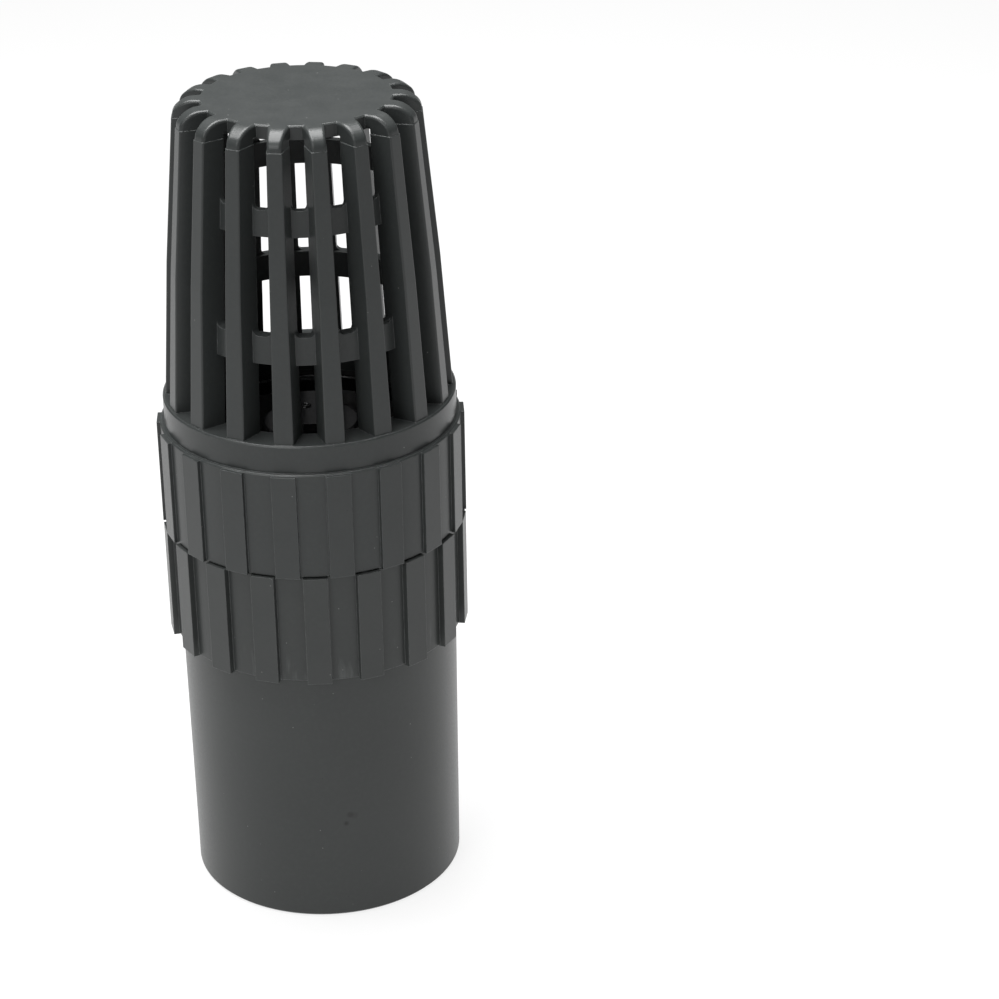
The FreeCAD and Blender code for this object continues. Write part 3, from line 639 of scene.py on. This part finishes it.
def gate_mark_grid(rows=150, columns=12):
    """Bead along a spiral: centre (r cos a, 0.8 r sin a), r from 0.5 to 1.9 in 1.8 turns.

    Its section is a circle that thins to a quarter at both ends as a half sine.
    """
    share = np.linspace(0, 1, rows)[:, None]
    angle = 0.7 + share * 1.8 * 2 * pi
    reach = 0.5 + 1.4 * share
    bead = MARK_BEAD * (0.25 + 0.75 * np.sin(pi * share) ** 0.5)
    around = np.linspace(0, 2 * pi, columns, endpoint=False)[None, :]
    radius = reach + bead * np.cos(around)
    x = MARK_PLACE[0] + radius * np.cos(angle)
    y = MARK_PLACE[1] + 0.8 * radius * np.sin(angle)
    z = MARK_PLACE[2] + bead * np.sin(around) + 0.06 * np.sin(3 * angle)
    return np.stack([x, y, z], -1) * MM


mark = skin("gate_mark", gate_mark_grid())
mark.data.materials.append(bridge_black)
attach(mark, "body")
print("gate mark: %d faces" % len(mark.data.polygons))

# %% [markdown]
# ## The return spring
# A spring of 1.8 mm stainless wire closes the poppet. Both its ends are closed against the
# next coil and ground flat, so that it stands square on the guide's arms and under the
# washer. The solid is a plain helix; here the pitch eases to nothing at the ends and the wire
# is cut level.

# %% Spring
SPRING_FOOT = 54.02
SPRING_HEAD = 94.58
SPRING_RADIUS = 10.0
WIRE = 0.9
SPRING_TURNS = 8.6
CLOSED_TURNS = 1.1
WIRE_COLUMNS = 20
STEPS_PER_TURN = 72


def spring_grid():
    """Wire round a helix: centre (R cos a, R sin a, h(a)), section turned with the helix.

    h rises by one wire thickness per turn over the closed turns and evenly between them; its
    slope is a smooth step. The ends are ground: heights beyond the two flats are held there.
    """
    rows = int(SPRING_TURNS * STEPS_PER_TURN)
    angle = np.linspace(0, 2 * pi * SPRING_TURNS, rows)
    turns = angle / (2 * pi)
    inward = np.minimum(turns, SPRING_TURNS - turns)
    ease = np.clip((inward - CLOSED_TURNS * 0.75) / (CLOSED_TURNS * 0.5), 0, 1)
    ease = ease * ease * (3 - 2 * ease)
    tight = 2.04 * WIRE
    first = SPRING_FOOT + WIRE * 0.55
    last = SPRING_HEAD - WIRE * 0.55
    step = turns[1] - turns[0]
    open_part = np.cumsum(ease) * step
    pitch = (last - first - tight * SPRING_TURNS) / open_part[-1]
    height = first + tight * turns + pitch * open_part
    height += (last - height[-1]) * turns / SPRING_TURNS
    slope = np.gradient(height, angle) / SPRING_RADIUS
    lean = np.arctan(slope)
    around = np.linspace(0, 2 * pi, WIRE_COLUMNS, endpoint=False)
    out = np.cos(around)[None, :] * WIRE
    up = np.sin(around)[None, :] * WIRE
    a = angle[:, None]
    radial = SPRING_RADIUS + out
    x = radial * np.cos(a) + up * np.sin(lean)[:, None] * np.sin(a)
    y = radial * np.sin(a) - up * np.sin(lean)[:, None] * np.cos(a)
    z = height[:, None] + up * np.cos(lean)[:, None]
    z = np.clip(z, SPRING_FOOT, SPRING_HEAD)
    return np.stack([x, y, z], -1) * MM


wire_steel = steel("spring_steel", (0.42, 0.42, 0.41), 0.26, 1.2, 0.25)
turned_steel = steel("turned_steel", (0.46, 0.46, 0.45), 0.24, 6.0, 0.22)
spring = settle(skin("closed_spring", spring_grid()), "return_spring",
                wire_steel)
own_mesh(spring)

# %% [markdown]
# ## Rubber pieces
# The O-ring carries the fine flash line of its two-part mould, built here on its inner side
# only. The poppet's seal and the outlet gasket are cut or moulded rings whose edges are never
# sharp; the seal shows the shallow groove that the seat's lip has pressed into it.


# %% Rubber
ORING_RADIUS = 30.55         # from the axis to the middle of the section, in mm
ORING_LEVEL = 118.2
ORING_SECTION = 0.925
FLASH_TALL = 0.035
FLASH_SHARP = 0.07


def oring_outline():
    """Circle whose radius swells to a thin ridge, a bell curve of sin a, on its inner side."""
    around = np.linspace(0, 2 * pi, 48, endpoint=False)
    flash = FLASH_TALL * np.exp(-(np.sin(around) / FLASH_SHARP) ** 2) * (np.cos(around) < 0)
    radius = ORING_SECTION + flash
    return np.stack([ORING_RADIUS + radius * np.cos(around),
                     ORING_LEVEL + radius * np.sin(around)], -1)


rubber = black_rubber("epdm", (0.016, 0.016, 0.0165), 0.62)
settle(lathe("flashed_oring", oring_outline(), 220), "seat_oring", rubber)
seal_corners = [(20.12, 100.92, 0.15), (26.18, 100.92, 0.25), (26.18, 103.89, 0.5),
                (25.3, 103.89, 0.3), (24.7, 103.80, 0.4), (23.6, 103.80, 0.4),
                (23.0, 103.89, 0.3), (20.12, 103.89, 0.35)]
settle(lathe("pressed_seal", rounded_outline(seal_corners), 200), "poppet_seal",
       rubber)


GASKET_INSIDE = 25.62
GASKET_OUTSIDE = 29.88
GASKET_BOTTOM = 26.32
GASKET_TOP = 28.38
GASKET_MIDDLE = 27.4
GASKET_WAVE = 0.025          # half of the wave's height, in mm


def gasket_ripple(angle, radius, height):
    """The lower half lifted by up to two GASKET_WAVE, as one plus a sine of three waves."""
    wave = GASKET_WAVE * (1 + np.sin(3 * angle + 0.6)) * (height < GASKET_MIDDLE)
    return radius, height + wave


gasket_corners = [(GASKET_INSIDE, GASKET_BOTTOM, 0.22), (GASKET_OUTSIDE, GASKET_BOTTOM, 0.22),
                  (GASKET_OUTSIDE, GASKET_TOP, 0.15), (GASKET_INSIDE, GASKET_TOP, 0.15)]
settle(lathe("flat_gasket", rounded_outline(gasket_corners), 220, gasket_ripple),
       "outlet_gasket", rubber)

# %% [markdown]
# ## Steel pieces on the stem
# The stem is turned from 6 mm bar with a rolled thread under its nut. The nut is a hexagon
# whose corners are turned off by a cone at both ends, which gives the curved edges of a real
# nut. The washers are stamped: rounded on one side, sharp on the other.


# %% Stem and nut
THREAD_PITCH = 1.0
THREAD_DEPTH = 0.3
THREAD_FROM = 107.6          # heights between which the stem is threaded, in mm
THREAD_TO = 113.0
THREAD_RUN_OUT = 0.8


def stem_grid(columns=72):
    """Turned stem with a rolled thread: radius falls by up to THREAD_DEPTH as z + a / 2 pi winds.

    Rows are heights in millimetres, denser on the thread; the outline between is straight.
    """
    corners = np.array([
        (40.5, 2.2), (40.52, 2.5), (40.85, 2.9), (41.1, 3.0), (41.53, 3.0), (41.56, 2.4),
        (42.64, 2.4), (42.67, 3.0), (71.98, 3.0), (72.0, 3.2), (72.02, 5.2), (72.3, 5.5),
        (95.7, 5.5), (95.98, 5.2), (95.99, 3.0), (96.6, 3.0), (106.9, 3.0), (113.2, 3.0),
        (125.3, 3.0), (125.7, 2.9), (125.95, 2.6), (126.0, 2.2)])
    between = [np.linspace(first, last, 2 + int((last - first) / 1.5), endpoint=False)
               for first, last in zip(corners[:-1, 0], corners[1:, 0])]
    thread = np.arange(THREAD_FROM, THREAD_TO + 0.1, 0.06)
    heights = np.unique(np.concatenate(between + [thread, corners[-1:, 0]]))
    radius = np.interp(heights, corners[:, 0], corners[:, 1])[:, None]
    angle = np.linspace(0, 2 * pi, columns, endpoint=False)[None, :]
    phase = (heights[:, None] / THREAD_PITCH + angle / (2 * pi)) % 1.0
    depth = THREAD_DEPTH * (1 - np.abs(2 * phase - 1))
    fade = (np.clip((heights - THREAD_FROM) / THREAD_RUN_OUT, 0, 1)
            * np.clip((THREAD_TO - heights) / THREAD_RUN_OUT, 0, 1))
    radius = radius - depth * fade[:, None]
    z = np.repeat(heights[:, None], columns, 1)
    return np.stack([radius * np.cos(angle), radius * np.sin(angle), z], -1) * MM


INSET = 0.02                 # the finer pieces stay this far inside the solids, in mm
NUT_FOOT = 108.0
NUT_TALL = 3.0
NUT_FLAT = 4.98              # half the width across the flats
NUT_BORE = 3.03
NUT_CONE = 4.85              # radius of the chamfer cones at the end faces
NUT_CONE_SLOPE = 1.8


def nut_grid(columns=192):
    """Hexagon cut by two cones: r is the least of flat / cos(a) and the cones' radii.

    The outline runs up the bore, out over the top, down the flats and back, so it is shut.
    """
    angle = np.linspace(0, 2 * pi, columns, endpoint=False)[None, :]
    flat = NUT_FLAT / np.cos((angle % (pi / 3)) - pi / 6)
    foot, crown = INSET, NUT_TALL - INSET
    height = np.concatenate([np.linspace(foot, crown, 6), np.full(5, crown),
                             np.linspace(crown, foot, 25), np.full(5, foot)])[:, None]
    part = np.concatenate([np.zeros(6), np.linspace(0.1, 0.9, 5), np.ones(25),
                           np.linspace(0.9, 0.1, 5)])[:, None]
    cone = NUT_CONE + NUT_CONE_SLOPE * np.minimum(height, NUT_TALL - height)
    outside = np.minimum(flat, cone)
    bore = NUT_BORE + 0.35 * np.clip(np.abs(height - NUT_TALL / 2) - 1.2, 0, 0.3)
    radius = bore + (outside - bore) * part
    z = NUT_FOOT + np.repeat(height, columns, 1)
    return np.stack([radius * np.cos(angle), radius * np.sin(angle), z], -1) * MM


settle(skin("turned_stem", stem_grid()), "poppet_stem", turned_steel)
settle(skin("hex_nut", nut_grid(), shut_along=True), "stem_nut",
       turned_steel)

# %% [markdown]
# ## Washers and clips
# The two washers are stamped from sheet, so one pair of edges is rounded by the die and the
# other is left nearly sharp. The keeper and the clip are rings with a gap, which lets them
# spring into their grooves; a formula leaves the gap out and keeps its ends parallel.


# %% Washers and clips
def ring_outline(inside, outside, bottom, top, edge, sharp=0.04):
    """Stamped section: its lower edges rounded by edge, its upper ones nearly sharp."""
    return rounded_outline([(inside, bottom, edge), (outside, bottom, edge),
                            (outside, top, sharp), (inside, top, sharp)])


def open_grid(outline, gap, columns=200):
    """Outline carried round the axis but for a gap at +x, whose width is in millimetres.

    The half angle left out at radius r is asin(gap / 2 r), so the ends are parallel.
    """
    share = np.linspace(0, 1, columns)[:, None]
    radius = np.repeat(outline[None, :, 0], columns, 0)
    height = np.repeat(outline[None, :, 1], columns, 0)
    half = np.arcsin(gap / 2 / radius)
    angle = half + share * (2 * pi - 2 * half)
    return np.stack([radius * np.cos(angle), radius * np.sin(angle), height], -1) * MM


settle(lathe("stamped_washer", ring_outline(3.03, 6.48, 107.02, 107.98, 0.2), 120),
       "stem_washer", turned_steel)
settle(lathe("spring_seat", ring_outline(5.72, 12.78, 94.62, 95.98, 0.25), 140),
       "spring_washer", turned_steel)
settle(skin("open_keeper", open_grid(ring_outline(2.47, 5.58, 41.62, 42.58, 0.15), 3.02)),
       "stem_keeper", wire_steel)
settle(skin("sprung_clip", open_grid(ring_outline(29.32, 32.88, 49.37, 50.83, 0.2), 8.02)),
       "retaining_clip", wire_steel)

# %% [markdown]
# ## Guide bushes
# Two pressed-in bushes of off-white bearing plastic carry the stem. Their mouths are eased so
# that the stem enters freely.

# %% Bushes
BUSH_BORE = 3.07
BUSH_OUTSIDE = 4.98
MOUTH_ROUND = 0.4            # both mouths of the bore
LEAD_IN_ROUND = 0.3          # outer edge that enters its seat first


def bush_outline(bottom, top, rim):
    """Section of a bush between two heights; rim rounds its upper outer edge."""
    return rounded_outline([(BUSH_BORE, bottom, MOUTH_ROUND),
                            (BUSH_OUTSIDE, bottom, LEAD_IN_ROUND),
                            (BUSH_OUTSIDE, top, rim), (BUSH_BORE, top, MOUTH_ROUND)])


bearing = bush_plastic("bearing_plastic", (0.50, 0.48, 0.42), 0.42)
settle(lathe("upper_bearing", bush_outline(113.62, 126.98, 0.2), 96), "upper_guide_bush",
       bearing)
settle(lathe("lower_bearing", bush_outline(44.02, 59.98, 0.25), 96), "lower_guide_bush",
       bearing)
